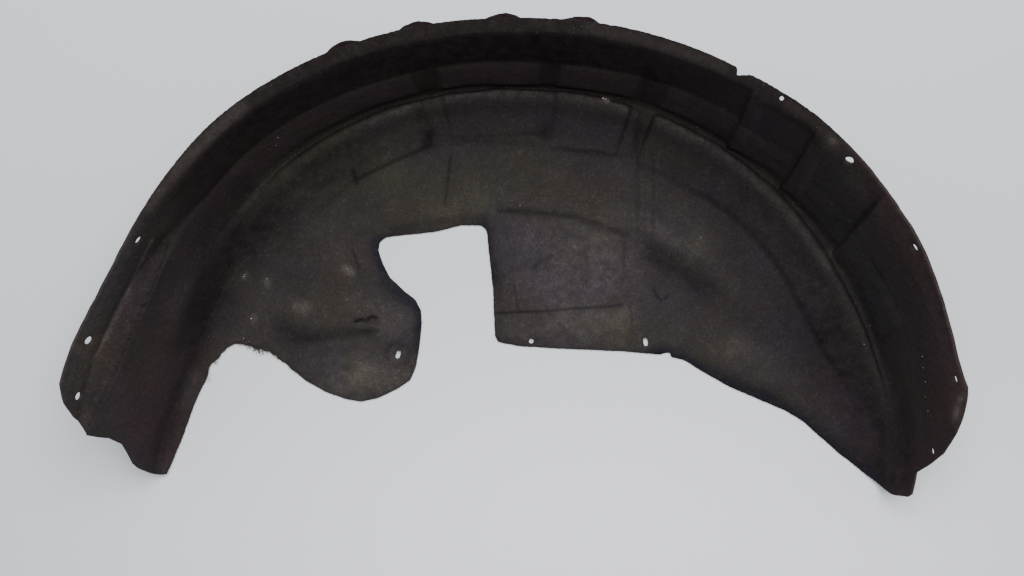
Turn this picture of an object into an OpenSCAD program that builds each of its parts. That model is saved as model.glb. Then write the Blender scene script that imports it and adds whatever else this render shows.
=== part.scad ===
// Wheel arch liner, one moulded sheet, shown lying on its back with its wheel side up.
// The axle of the wheel runs along Z through the middle of the arch.

/* [Arch] */
// Radius of the arch's outer edge, measured from the wheel's axle
arch_radius = 480; // [400:1:560]
// Depth of the liner, from the edge of its tread wall down to its back face
liner_depth = 220; // [180:1:280]
// Thickness of the moulded sheet
sheet = 3; // [2.4:0.1:3.6]

/* [Lip] */
// Width of the flat lip along the top of the arch
lip_width = 16; // [13:0.5:20]
// Radius of the fold between the lip and the tread wall
lip_fold = 4; // [3:0.25:5]
// Length along the lip of each pad that stands out behind it
pad_length = 30; // [24:0.5:36]
// Radius of the rounded ends of those pads
pad_round = 9; // [7.5:0.25:10]
// How far those pads reach past the lip's edge
pad_reach = 6; // [4:0.25:8]
// Height of those pads
pad_height = 26; // [18:0.5:36]
// How far those pads start below the lip's upper face
pad_drop = 14; // [10:0.5:18]
// Depth of the torn nick where the flat lip ends
nick_depth = 7; // [4:0.25:9]
// Width of that nick on its steep side, a fifth of the whole
nick_width = 7; // [5:0.25:10]

/* [Tread wall] */
// Height of the waist line, where the panels of the tread wall start
waist_height = 104; // [90:1:120]
// How far the panels stand in at the waist line
panel_rise = 4; // [2.5:0.25:6]
// Height over which the waist line turns
waist_turn = 4; // [3:0.25:6]
// How far each lapped panel on the right stands in front of the one before it
lap_rise = 7; // [4:0.25:9]
// Width of the ledge under the left leg's flange
ledge_width = 20; // [15:0.5:24]
// How far that ledge lies below the liner's edge
ledge_drop = 40; // [30:1:55]
// How far the left leg's flange is hollowed
crease_rise = 1.5; // [0.75:0.25:2.5]
// Height at which the panels end above the gutter
foot_height = 21; // [18:0.5:24]

/* [Gutter and bead] */
// Height of the gutter's floor above the back face
gutter_height = 10; // [8:0.25:13]
// Height of the bead above the gutter's floor
bead_height = 17; // [13:0.5:20]
// Height of the band's inner edge above the back face
band_height = 12; // [10:0.25:14]

/* [Inner disc] */
// Radius about the axle inside which the disc has been left out
open_radius = 112; // [100:1:116]
// Depth of the shallow pressed fields in the disc
field_depth = 1; // [0.5:0.1:1.4]
// Length of the pressed field beside the strut cut-out
field_length = 146; // [120:1:150]
// Width of that field
field_width = 96; // [80:1:104]
// Width of the rib that runs down the disc
rib_width = 17; // [12:0.5:22]
// Length of that rib
rib_length = 140; // [110:1:150]
// Height of that rib and of the ring around the hole in the tongue
rib_height = 1.5; // [0.75:0.25:2.5]
// Length of the dent in the tongue
dent_length = 92; // [70:1:100]
// Radius of the wide end of that dent
dent_round = 9; // [6:0.5:12]
// Radius of the raised ring around the hole in the tongue
ring_radius = 12; // [10:0.5:15]

/* [Fixing holes] */
// Bore of the holes in the tread wall's edge
wall_hole = 9.5; // [7:0.25:11]
// Bore of the small hole in the flat lip on the right
lip_hole = 5; // [4:0.25:6]
// Distance of that small hole from the lip's edge
lip_hole_inset = 5.5; // [4.5:0.25:7]
// Bore of the round hole in the disc
disc_hole = 6.5; // [5:0.25:8]
// Width of the slots in the disc
slot_width = 6; // [4.5:0.25:7]
// Length of those slots
slot_length = 10.5; // [8:0.25:13]

/* [Hidden] */
$fn = 48;
felt = [0.2, 0.185, 0.18];

// One length by which every cut passes through
over = 2*sheet;

// Angles about the axle are in degrees, from the right and over the top
first_turn = -5.3;
last_turn = 182.7;
knot_gap = 10;
first_knot = -10;

// Lines of the shell as shares of the arch's radius, one every ten degrees from minus ten
edge_share = [0.980, 0.970, 0.972, 0.984, 0.994, 0.999, 1.003, 1.000, 0.999, 0.995, 0.991,
    0.995, 1.001, 1.006, 1.007, 0.994, 0.978, 0.977, 0.989, 0.992, 0.992];
waist_share = [0.942, 0.941, 0.944, 0.950, 0.957, 0.961, 0.961, 0.957, 0.951, 0.944, 0.940,
    0.946, 0.950, 0.956, 0.960, 0.953, 0.946, 0.952, 0.960, 0.966, 0.966];
foot_share = [0.958, 0.948, 0.938, 0.931, 0.936, 0.941, 0.943, 0.938, 0.931, 0.922, 0.918,
    0.927, 0.932, 0.937, 0.941, 0.941, 0.941, 0.941, 0.941, 0.941, 0.941];
crest_share = [0.940, 0.932, 0.914, 0.899, 0.892, 0.893, 0.898, 0.898, 0.896, 0.896, 0.894,
    0.897, 0.900, 0.902, 0.906, 0.908, 0.908, 0.908, 0.908, 0.908, 0.908];
inner_share = [0.930, 0.910, 0.860, 0.808, 0.792, 0.797, 0.800, 0.790, 0.785, 0.774, 0.779,
    0.792, 0.796, 0.793, 0.788, 0.788, 0.788, 0.788, 0.788, 0.788, 0.788];
toe_share = [0.880, 0.872, 0.850, 0.830, 0.830, 0.830, 0.830, 0.830, 0.830, 0.830, 0.830,
    0.830, 0.830, 0.830, 0.835, 0.838, 0.832, 0.828, 0.846, 0.880, 0.890];
// How flat the lip lies, how high the bead stands and how far the left leg's form has taken over
flat_share = [0, 0, 0, 0, 0, 0.15, 0.62, 0.86, 1, 1, 1, 1, 1, 1, 1, 0.75, 0.05, 0, 0, 0, 0];
bead_share = [0.3, 0.35, 0.5, 0.7, 0.9, 1, 1, 1, 1, 1, 1, 1, 1, 1, 0.85, 0.5, 0.4, 0.4, 0.4, 0.4, 0.4];
leg_share = [0.85, 0.65, 0.25, 0.03, 0, 0, 0, 0, 0, 0, 0, 0, 0, 0.02, 0.18, 0.62, 0.95, 1, 1, 1, 1];
ledge_share = [0, 0, 0, 0, 0, 0, 0, 0, 0, 0, 0, 0, 0, 0, 0, 0.08, 0.8, 1, 1, 1, 1];
// How far the panels stand in around the arch
panel_share = [0, 0, 0, 0, 0, 0, 0.1, 0.8, 1, 1, 1, 1, 0.8, 0.3, 0.1, 0, 0, 0, 0, 0, 0];
// By how many degrees the lines of the tread wall lean from its edge down to its foot
lean_turns = [0, 0, 0.5, 2, 3.8, 4.6, 4.1, 3.2, 1.2, 0, 0, 0, 0, 0, 0, 0, 0, 0, 0, 0, 0];

// Where the ends of the two legs run, as height share and angle
left_end_share = [[0, 182.7], [0.05, 182.7], [0.13, 182], [0.19, 181.4], [0.25, 180.8],
    [0.32, 179.9], [0.39, 177.9], [0.446, 176.5], [0.56, 175.4], [0.67, 175], [0.79, 174.4],
    [0.836, 172.4], [0.878, 171.8], [0.938, 170.3], [0.965, 169.3], [1, 167.7]];
right_end_share = [[0, -5.3], [0.2, -5.1], [0.273, -4.9], [0.32, -4.3], [0.345, -2.4], [0.362, -1],
    [0.45, 0], [0.49, 0.5], [0.647, 2.6], [0.82, 6], [0.9, 8.3], [0.958, 10.1], [1, 12.1]];

// Channels between the panels: middle, half width, and how deep they cross bead and band
channels = [[103.3, 1.5, 0.35], [85.2, 1.1, 0.25], [71, 1.5, 0.85]];
channel_ramp = 0.7;
// Lapped panels on the right: where each one's front edge stands, then where the last fades out
laps = [59.2, 49.7, 37.4, 25];
lap_ramp = 0.5;

// Points across the section, as shares of the sizes that carry them
top_down_share = [0, 0.08, 0.19, 0.34];
lip_in_share = [0, 0.75, 0.93, 1.04];
lip_fall_share = [0, 0, 0.35, 1.5];
top_lap_share = [0, 0.2, 0.7, 1];
gutter_share = [[0.18, 0.25, 0], [0.50, 0, 0], [0.70, 0, 0.25], [0.80, 0, 0.68]];
band_in_share = [0, 0.12, 0.32, 0.62, 0.90];
band_fall_share = [0, 0.06, 0.32, 0.68, 1];
step_share = [[0.97, 0.80], [1.08, 0.20], [1.16, 0]];
leg_in_share = [0, 0.12, 0.25, 0.38, 0.50, 0.60, 0.68, 0.75, 0.82, 0.90, 1, 1.18, 1.40, 1.70, 2];
leg_up_share = [0.99, 0.84, 0.70, 0.61, 0.55, 0.48, 0.39, 0.30, 0.22, 0.15, 0.085, 0.042, 0.016, 0.002, 0];
disc_share = [0.35, 0.70, 1];

function mix(a, b, f) = a + (b - a)*f;
function clamp(x) = max(0, min(1, x));
function ease(x) = let(c = clamp(x)) c*c*(3 - 2*c);

// A smooth line through the knots of one of the lists above
function curve(t, v) = let(
    n = len(v) - 1,
    u = max(0, min(n - 0.0001, (t - first_knot)/knot_gap)),
    i = floor(u), f = u - i,
    a = v[max(i - 1, 0)], b = v[i], c = v[i + 1], d = v[min(i + 2, n)])
    b + 0.5*f*(c - a + f*(2*a - 5*b + 4*c - d + f*(3*(b - c) + d - a)));

// Height of the waist line, which rises to the ledge on the left leg
function waist_up(t) = mix(waist_height, liner_depth - ledge_drop, clamp(curve(t, ledge_share)));
function channel(t, m) = max([for (c = channels)
    clamp((c[1] + channel_ramp - abs(t - c[0]))/channel_ramp)*mix(1, c[2], m)]);
function lap(t) = max(0, max([for (i = [0 : len(laps) - 2])
    let(lo = laps[i + 1] + (i < len(laps) - 2 ? lap_ramp/2 : 0), hi = laps[i] - lap_ramp/2)
    t > lo - 0.001 && t < hi + 0.001 ? (t - lo)/(hi - lo) : 0]));

// The upper face of the sheet at one angle, as radius and height, from the edge in to the disc
function upper(t) = let(
    edge = arch_radius*curve(t, edge_share),
    waist = arch_radius*curve(t, waist_share),
    flat = clamp(curve(t, flat_share)),
    s = lap_rise*lap(t)) [
    for (i = [0 : 3]) [
        mix(mix(edge, waist, top_down_share[i]), edge - lip_width*lip_in_share[i], flat)
            - s*top_lap_share[i],
        mix(mix(liner_depth, waist_up(t), top_down_share[i]), liner_depth - lip_fall_share[i]*lip_fold,
            flat)]];
function lower(t) = let(
    waist = arch_radius*curve(t, waist_share),
    foot = arch_radius*curve(t, foot_share),
    crest = arch_radius*curve(t, crest_share),
    inner = arch_radius*curve(t, inner_share),
    toe = arch_radius*curve(t, toe_share),
    leg = clamp(curve(t, leg_share)),
    s = lap_rise*lap(t),
    c = channel(t, 0), x = channel(t, 1),
    panel = panel_rise*max(0, curve(t, panel_share))*(1 - c),
    gap = foot - crest, band = crest - inner,
    bead = bead_height*curve(t, bead_share)*(1 - x),
    top = gutter_height + bead,
    rim = mix(band_height, sheet, 0.7*x),
    ledge = waist - mix(waist_turn/2, ledge_width, clamp(curve(t, ledge_share))),
    one = concat(
        [[waist - panel - s, waist_up(t) - waist_turn]],
        [[min(mix(waist - panel, foot - 0.5*panel, 0.5), waist) - s, mix(waist_up(t), foot_height, 0.5)]],
        [[foot - 0.5*panel - s, foot_height]],
        [for (g = gutter_share) [mix(foot - s*(1 - g[0]), crest, g[0]),
            gutter_height + (foot_height - gutter_height)*g[1] + bead*g[2]]],
        [for (i = [0 : 4]) [crest - band*band_in_share[i], mix(top, rim, band_fall_share[i])]],
        [for (p = step_share) [crest - band*p[0], mix(sheet, rim, p[1])]]),
    two = [for (i = [0 : 14]) [mix(ledge, toe, leg_in_share[i]),
        mix(sheet, waist_up(t) - waist_turn, leg_up_share[i])]])
    [for (i = [0 : 14]) mix(one[i], two[i], leg)];
function section(t) = let(
    up = upper(t), low = lower(t),
    waist = arch_radius*curve(t, waist_share) - lap_rise*lap(t),
    mid = [mix(up[3][0], waist, 0.5) - crease_rise*clamp(curve(t, ledge_share)),
        mix(up[3][1], waist_up(t), 0.5)],
    last = low[14])
    concat(up, [mid], [[waist, waist_up(t) + waist_turn]], low,
        [for (f = disc_share) [mix(last[0], open_radius, f), sheet]]);

// The lower face lies one sheet behind the upper face, square to it
function unit(v) = v/max(norm(v), 0.000001);
function behind(s) = [for (i = [0 : len(s) - 1])
    let(a = unit(i > 0 ? s[i] - s[i - 1] : s[1] - s[0]),
        b = unit(i < len(s) - 1 ? s[i + 1] - s[i] : a), d = unit(a + b))
    s[i] + sheet*[-d[1], d[0]]];

// Angle of a point of the shell, drawn to the ends of the legs
left_start = 140;
right_start = 50;
function turn(t, z) = let(h = clamp(z/liner_depth),
    l = clamp((t - left_start)/(last_turn - left_start)),
    r = clamp((right_start - t)/(right_start - first_turn)))
    t + l*l*(lookup(h, left_end_share) - last_turn) + r*r*(lookup(h, right_end_share) - first_turn)
    - curve(t, lean_turns)*(1 - h);
function place(p, a) = [p[0]*cos(a), p[0]*sin(a), p[1]];

// Angles at which the section is taken, closer at channels and laps
function sorted(v) = len(v) < 2 ? v : let(p = v[floor(len(v)/2)])
    concat(sorted([for (x = v) if (x < p) x]), [for (x = v) if (x == p) x],
        sorted([for (x = v) if (x > p) x]));
marks = concat(
    [for (c = channels, d = [-1, 1], e = [0, 1]) c[0] + d*(c[1] + e*channel_ramp)],
    [for (i = [0 : len(laps) - 2], d = [-0.5, 0.5]) laps[i] + d*lap_ramp]);
plain_count = 80;
plain = [for (i = [1 : plain_count - 1]) let(t = mix(first_turn, last_turn, i/plain_count))
    if (min([for (m = marks) abs(m - t)]) > 0.9) t];
turns = sorted(concat([first_turn, last_turn], marks, plain));

tops = [for (t = turns) section(t)];
rings = len(tops[0]);
count = len(turns);
shell_points = concat(
    [for (i = [0 : count - 1], p = tops[i]) place(p, turn(turns[i], p[1]))],
    [for (i = [0 : count - 1]) let(u = behind(tops[i]))
        for (k = [0 : rings - 1]) place(u[k], turn(turns[i], tops[i][k][1]))]);
function at(i, k) = i*rings + k;
function under(i, k) = (count + i)*rings + k;
function two(a, b, c, d) = [[a, b, c], [a, c, d]];
shell_faces = concat(
    [for (i = [0 : count - 2], k = [0 : rings - 2])
        for (f = two(at(i, k), at(i, k + 1), at(i + 1, k + 1), at(i + 1, k))) f],
    [for (i = [0 : count - 2], k = [0 : rings - 2])
        for (f = two(under(i + 1, k), under(i + 1, k + 1), under(i, k + 1), under(i, k))) f],
    [for (i = [0 : count - 2])
        for (f = two(at(i, 0), at(i + 1, 0), under(i + 1, 0), under(i, 0))) f],
    [for (i = [0 : count - 2], k = [rings - 1])
        for (f = two(at(i + 1, k), at(i, k), under(i, k), under(i + 1, k))) f],
    [for (k = [0 : rings - 2])
        for (f = two(at(0, k + 1), at(0, k), under(0, k), under(0, k + 1))) f],
    [for (k = [0 : rings - 2], i = [count - 1])
        for (f = two(at(i, k), at(i, k + 1), under(i, k + 1), under(i, k))) f]);

// The inner free edge about the axle, from the right leg's tip over the strut cut-out and the tongue
// to the left leg's end, as shares of the arch's radius
free_edge_share = [[1.05, -0.140], [0.965, -0.099], [0.945, -0.098], [0.930, -0.093], [0.903, -0.074],
    [0.883, -0.053], [0.858, -0.035], [0.821, -0.006], [0.797, 0.010], [0.753, 0.047], [0.707, 0.090],
    [0.660, 0.120], [0.600, 0.141], [0.520, 0.176],
    [0.459, 0.211], [0.412, 0.240], [0.380, 0.247], [0.379, 0.258], [0.364, 0.258], [0.355, 0.253],
    [0.260, 0.261], [0.100, 0.268], [0.006, 0.274], [-0.046, 0.284], [-0.054, 0.300], [-0.056, 0.350],
    [-0.059, 0.417], [-0.067, 0.490], [-0.073, 0.550], [-0.077, 0.564], [-0.090, 0.572], [-0.140, 0.572],
    [-0.200, 0.556], [-0.280, 0.548], [-0.324, 0.542], [-0.340, 0.530], [-0.343, 0.510], [-0.333, 0.479],
    [-0.314, 0.441], [-0.278, 0.408], [-0.250, 0.386], [-0.238, 0.360], [-0.236, 0.325], [-0.242, 0.270],
    [-0.250, 0.222], [-0.264, 0.190], [-0.298, 0.167], [-0.345, 0.145], [-0.386, 0.137], [-0.420, 0.143],
    [-0.470, 0.160], [-0.521, 0.188], [-0.565, 0.225], [-0.612, 0.258], [-0.640, 0.269], [-0.668, 0.278],
    [-0.698, 0.281], [-0.716, 0.270], [-0.742, 0.238], [-0.757, 0.226], [-0.764, 0.200], [-0.794, 0.135],
    [-0.825, 0.050], [-0.856, -0.027], [-0.870, -0.060], [-0.880, -0.120], [-0.880, -0.400],
    [1.05, -0.400]];

// Fixing holes in the tread wall: angle and height share of the liner's depth
wall_holes_share = [[147.5, 0.927], [161.8, 0.920], [169.2, 0.870], [44.2, 0.957], [30.6, 0.945],
    [13.2, 0.930], [2.7, 0.552]];
lip_hole_turn = 55.6;
pad_turns = [111, 101.6, 91.4, 80.4];
nick_turn = 61.8;

// Places on the disc about the axle, as shares of the arch's radius
slot_places_share = [[-0.293, 0.253, 72], [0.317, 0.284, 100]];
disc_hole_share = [0.035, 0.286];
field_share = [-0.026, 0.352];
field_tilt = 2;
rib_share = [0.315, 0.430];
dent_share = [-0.545, 0.283];
dent_tilt = 8;

// The middle of the footprint is put on the origin
pad_tip = [for (a = pad_turns) arch_radius*curve(a, edge_share) + pad_reach];
pad_tips = [for (i = [0 : len(pad_turns) - 1]) pad_tip[i]*[cos(pad_turns[i]), sin(pad_turns[i])]];
xs = [for (p = shell_points) p[0]];
ys = concat([for (p = shell_points) p[1]], [for (i = [0 : len(pad_turns) - 1])
    let(a = pad_turns[i], r = pad_tip[i] - pad_round)
    r*sin(a) + abs(cos(a))*(pad_length/2 - pad_round) + pad_round]);
shift = [-(min(xs) + max(xs))/2, -(min(ys) + max(ys))/2, 0];

// Radius of the tread wall's upper face at an angle and a height near its edge
function wall_at(t, h) = let(s = concat(upper(t), [[arch_radius*curve(t, waist_share) - lap_rise*lap(t),
    waist_up(t) + waist_turn]]),
    k = max([for (i = [0 : len(s) - 2]) if (s[i][1] >= h) i]))
    mix(s[k][0], s[k + 1][0], (s[k][1] - h)/(s[k][1] - s[k + 1][1]));
// Its tilt from upright there, in degrees
function tilt_at(t, h) = let(d = liner_depth/100)
    atan((wall_at(t, h + d) - wall_at(t, h - d))/(2*d));
// The station whose section comes to lie at an angle, at that height
function station(a, h, tries = 6) = tries == 0 ? a : let(t = station(a, h, tries - 1)) t + a - turn(t, h);

module shell() {
    polyhedron(points = shell_points, faces = shell_faces, convexity = 12);
}

module free_edge() {
    translate([0, 0, -over])
        linear_extrude(liner_depth + 2*over)
            polygon([for (p = free_edge_share) arch_radius*p]);
}

// A hole square to the tread wall, as wide on both sides
module wall_hole_at(a, h) {
    t = station(a, h);
    tilt = tilt_at(t, h);
    rotate([0, 0, a])
        translate([wall_at(t, h) + sheet/2/cos(tilt), 0, h])
            rotate([0, 90 + tilt, 0])
                cylinder(d = wall_hole, h = 2*over, center = true);
}

module slot_at(p) {
    translate([arch_radius*p[0], arch_radius*p[1], -over])
        rotate([0, 0, p[2]]) {
            for (d = [-1, 1])
                translate([d*(slot_length - slot_width)/2, 0, 0])
                    cylinder(d = slot_width, h = 3*over);
            translate([-(slot_length - slot_width)/2, -slot_width/2, 0])
                cube([slot_length - slot_width, slot_width, 3*over]);
        }
}

// A pad behind the lip, rounded at both ends and joined to the wall
module pad_at(i) {
    a = pad_turns[i];
    r = pad_tip[i] - pad_round;
    root = wall_at(a, liner_depth - pad_drop) + sheet/2;
    rotate([0, 0, a])
        translate([r, 0, liner_depth - pad_drop - pad_height]) {
            for (d = [-1, 1])
                translate([0, d*(pad_length/2 - pad_round), 0])
                    cylinder(r = pad_round, h = pad_height);
            translate([0, -(pad_length/2 - pad_round), 0])
                cube([pad_round, pad_length - 2*pad_round, pad_height]);
            translate([root - r, -pad_length/2, 0])
                cube([r - root, pad_length, pad_height]);
        }
}

module liner() {
    color(felt)
        difference() {
            union() {
                shell();
                translate([arch_radius*rib_share[0], arch_radius*rib_share[1], sheet/2])
                    cube([rib_width, rib_length, sheet/2 + rib_height]);
                translate([arch_radius*slot_places_share[0][0], arch_radius*slot_places_share[0][1], sheet/2])
                    cylinder(r = ring_radius, h = sheet/2 + rib_height);
                for (i = [0 : len(pad_turns) - 1])
                    pad_at(i);
            }
            free_edge();
            for (h = wall_holes_share)
                wall_hole_at(h[0], liner_depth*h[1]);
            rotate([0, 0, lip_hole_turn])
                translate([arch_radius*curve(lip_hole_turn, edge_share) - lip_hole_inset, 0,
                    liner_depth - 2*over])
                    cylinder(d = lip_hole, h = 3*over);
            for (p = slot_places_share)
                slot_at(p);
            translate([arch_radius*disc_hole_share[0], arch_radius*disc_hole_share[1], -over])
                cylinder(d = disc_hole, h = 3*over);
            translate([arch_radius*field_share[0], arch_radius*field_share[1], sheet - field_depth])
                rotate([0, 0, field_tilt])
                    cube([field_length, field_width, over]);
            translate([arch_radius*dent_share[0], arch_radius*dent_share[1], sheet - field_depth])
                rotate([0, 0, dent_tilt]) {
                    cylinder(r = dent_round, h = over);
                    linear_extrude(over)
                        polygon([[0, -dent_round], [dent_length, 0], [0, dent_round]]);
                }
            rotate([0, 0, nick_turn])
                translate([arch_radius*curve(nick_turn, edge_share) + over/2, 0, liner_depth - 3*over])
                    linear_extrude(5*over)
                        polygon([[0, -2*nick_width - over/2], [0, nick_width/2],
                            [-nick_depth - over/2, 0]]);
        }
}

translate(shift) {
    liner();
}
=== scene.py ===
import math

import bpy
import numpy as np
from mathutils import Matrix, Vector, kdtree
from mathutils.geometry import delaunay_2d_cdt


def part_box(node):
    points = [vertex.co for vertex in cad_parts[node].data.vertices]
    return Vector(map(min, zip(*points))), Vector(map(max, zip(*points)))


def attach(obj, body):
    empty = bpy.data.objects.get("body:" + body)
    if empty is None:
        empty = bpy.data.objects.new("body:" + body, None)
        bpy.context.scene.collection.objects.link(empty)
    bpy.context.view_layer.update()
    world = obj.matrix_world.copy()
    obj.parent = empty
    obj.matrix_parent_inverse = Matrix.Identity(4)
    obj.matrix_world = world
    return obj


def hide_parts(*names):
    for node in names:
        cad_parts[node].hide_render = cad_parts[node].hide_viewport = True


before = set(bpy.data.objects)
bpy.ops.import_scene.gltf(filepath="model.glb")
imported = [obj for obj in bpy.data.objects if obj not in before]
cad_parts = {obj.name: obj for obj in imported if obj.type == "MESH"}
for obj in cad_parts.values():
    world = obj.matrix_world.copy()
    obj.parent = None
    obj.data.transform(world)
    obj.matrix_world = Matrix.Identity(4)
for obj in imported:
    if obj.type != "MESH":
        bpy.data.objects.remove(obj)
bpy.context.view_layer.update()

# Camera. It hangs straight above the liner, with the top of the arch towards the top of the picture.
# Its height and its lens give the picture's perspective on the deep tread wall.
picture_wide, picture_high = 1024, 576
focal_px = 1323.5
camera_mm = (-3.32, -21.30, 1570.0)
camera_data = bpy.data.cameras.new("camera")
camera_data.sensor_width = 36
camera_data.lens = camera_data.sensor_width*focal_px/picture_wide
camera_data.clip_start = 0.05
camera = bpy.data.objects.new("camera", camera_data)
camera.location = [v/1000 for v in camera_mm]
bpy.context.collection.objects.link(camera)
bpy.context.scene.camera = camera


def in_picture(x, y, z):
    """Where a point in mm, in the row frame, shows in the picture, in pixels."""
    near = focal_px/(camera_mm[2] - z)
    return picture_wide/2 + (x - camera_mm[0])*near, picture_high/2 - (y - camera_mm[1])*near


# Floor. A pale laminate table top, wider than every view, with one soft bright patch at the front,
# a painted reflection of a lamp in its slight gloss. It belongs to the stage.
def linear(hex_colour):
    """An sRGB colour such as "#d0d2d5" as linear red, green, blue and alpha."""
    parts = [int(hex_colour[i:i + 2], 16)/255 for i in (1, 3, 5)]
    return [p/12.92 if p <= 0.04045 else ((p + 0.055)/1.055)**2.4 for p in parts] + [1.0]


def add(tree, kind, settings=None, **inputs):
    """Adds a shader node. An input, named with _ for a space or by number, takes a value or a socket."""
    made = tree.nodes.new(kind)
    for name, value in (settings or {}).items():
        setattr(made, name, value)
    for name, value in inputs.items():
        key = int(name[1:]) if name[0] == "i" and name[1:].isdigit() else name.replace("_", " ")
        if isinstance(value, bpy.types.NodeSocket):
            tree.links.new(value, made.inputs[key])
        else:
            made.inputs[key].default_value = value
    return made


def new_material(name):
    material = bpy.data.materials.new(name)
    material.use_nodes = True
    material.node_tree.nodes.clear()
    return material, material.node_tree


def new_object(name, points, faces, *materials):
    """A mesh object, whose points are in metres."""
    mesh = bpy.data.meshes.new(name)
    mesh.from_pydata(points, [], faces)
    for material in materials:
        mesh.materials.append(material)
    made = bpy.data.objects.new(name, mesh)
    bpy.context.collection.objects.link(made)
    return made


# White melamine laminate, pressed smooth, nearly white and slightly glossy, with a lamp's reflection painted
# into its colour as a brighter patch
laminate, tree = new_material("white_laminate")
place = add(tree, "ShaderNodeTexCoord").outputs["Object"]
painted_reflection_place = add(tree, "ShaderNodeMapping", Vector=place, Location=(-0.12, 0.76, 0), Scale=(1.0, 2.1, 1))
painted_reflection = add(tree, "ShaderNodeTexGradient", {"gradient_type": "SPHERICAL"}, Vector=painted_reflection_place.outputs[0])
soft = add(tree, "ShaderNodeMapRange", {"interpolation_type": "SMOOTHERSTEP"}, Value=painted_reflection.outputs[1])
tone = add(tree, "ShaderNodeMix", {"data_type": "RGBA"}, i0=soft.outputs[0], i6=linear("#dcdee3"),
           i7=linear("#fafbff"))
surface = add(tree, "ShaderNodeBsdfPrincipled", Base_Color=tone.outputs[2], Roughness=0.55)
add(tree, "ShaderNodeOutputMaterial", Surface=surface.outputs[0])
floor_half, floor_gap = 9.0, 0.0002
floor_corners = [(x*floor_half, y*floor_half, 0) for x, y in ((-1, -1), (1, -1), (1, 1), (-1, 1))]
floor = new_object("table_top", floor_corners, [(0, 1, 2, 3)], laminate)
floor.location.z = -floor_gap

# Lamps. Soft room light: a broad panel high above the top of the arch, which leaves the wall there in
# shade, and a plain pale surrounding.
panel_data = bpy.data.lights.new("ceiling_panel", "AREA")
panel_data.size = 2.0
panel_data.energy = 118
panel = bpy.data.objects.new("ceiling_panel", panel_data)
panel.location = (0.15, 0.85, 2.85)
panel.rotation_euler = (-panel.location.normalized()).to_track_quat("-Z", "Y").to_euler()
bpy.context.collection.objects.link(panel)
world = bpy.data.worlds.new("room")
bpy.context.scene.world = world
world.use_nodes = True
tree = world.node_tree
tree.nodes.clear()
rays = add(tree, "ShaderNodeLightPath")
seen = add(tree, "ShaderNodeMath", {"operation": "MAXIMUM"}, i0=rays.outputs["Is Camera Ray"],
           i1=rays.outputs["Is Glossy Ray"])
room_light = add(tree, "ShaderNodeBackground", Color=linear("#f4f6ff"), Strength=0.42)
backdrop = add(tree, "ShaderNodeBackground", Color=linear("#cccdd0"), Strength=1.0)
both = add(tree, "ShaderNodeMixShader", i0=seen.outputs[0], i1=room_light.outputs[0],
           i2=backdrop.outputs[0])
add(tree, "ShaderNodeOutputWorld", Surface=both.outputs[0])

# Liner, its surface. One sheet of needled felt, pressed hot in a mould and die-cut. Its section runs
# from the lip down the tread wall, over the gutter, the bead and the band, and in across the disc.
# It changes on its way around the axle, so each of its lines is a curve through knots.
sheet = 3.0
depth = 1000*(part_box("liner")[1].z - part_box("liner")[0].z)
arch_radius = 480.0
axle = np.array([2.68, -221.30])
lip_width, lip_fold = 16.0, 4.0
waist_height, waist_turn, panel_rise, lap_rise = 104.0, 4.0, 4.0, 7.0
ledge_drop, crease_rise, foot_height = 40.0, 1.5, 21.0
ledge_widths = [(150, 20.5), (157, 25), (169, 25), (174.5, 19.5), (180, 12.5), (183, 8)]
gutter_height, bead_height, band_height = 10.0, 17.0, 12.0
open_radius = 112.0
first_turn, last_turn = -5.3, 182.7
knot_gap, first_knot = 10, -10

# Knots of the section's lines, one every ten degrees, in thousandths of the arch's radius
edge_line = [
    980, 970, 972, 984, 994, 1001, 1008, 1002, 999, 995, 991, 995, 1001, 1006, 1007, 994, 978, 977, 989,
    992, 992]
waist_line = [
    942, 941, 944, 950, 957, 961, 961, 957, 951, 944, 940, 946, 950, 956, 960, 953, 946, 952, 960, 966, 966]
foot_line = [
    958, 948, 938, 931, 936, 941, 943, 938, 931, 922, 918, 927, 932, 937, 941, 941, 941, 941, 941, 941, 941]
crest_line = [
    940, 932, 914, 899, 892, 893, 898, 898, 896, 896, 894, 897, 900, 902, 906, 908, 908, 908, 908, 908, 908]
inner_line = [
    930, 910, 860, 808, 792, 797, 800, 790, 785, 774, 779, 792, 796, 793, 788, 788, 788, 788, 788, 788, 788]
toe_line = [
    880, 872, 850, 830, 830, 830, 830, 830, 830, 830, 830, 830, 830, 830, 835, 838, 832, 828, 846, 880, 890]
# Knots of how far each form is there, from 0 to 1, and of how far the laps lean, in degrees
flat_share = [0, 0, 0, 0, 0, 0.15, 0.62, 0.86, 1, 1, 1, 1, 1, 1, 1, 0.75, 0.05, 0, 0, 0, 0]
bead_share = [0.3, 0.35, 0.5, 0.7, 0.9, 1, 1, 1, 1, 1, 1, 1, 1, 1, 0.85, 0.5, 0.4, 0.4, 0.4, 0.4, 0.4]
leg_share = [0.85, 0.65, 0.25, 0.03, 0, 0, 0, 0, 0, 0, 0, 0, 0, 0.02, 0.18, 0.62, 0.95, 1, 1, 1, 1]
ledge_share = [0, 0, 0, 0, 0, 0, 0, 0, 0, 0, 0, 0, 0, 0, 0, 0.08, 0.8, 1, 1, 1, 1]
panel_share = [0, 0, 0, 0, 0, 0, 0.1, 0.8, 1, 1, 1, 1, 0.8, 0.3, 0.1, 0, 0, 0, 0, 0, 0]
lean_turns = [0, 0, 0.5, 2, 3.8, 4.6, 4.1, 3.2, 1.2, 0, 0, 0, 0, 0, 0, 0, 0, 0, 0, 0, 0]
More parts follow.
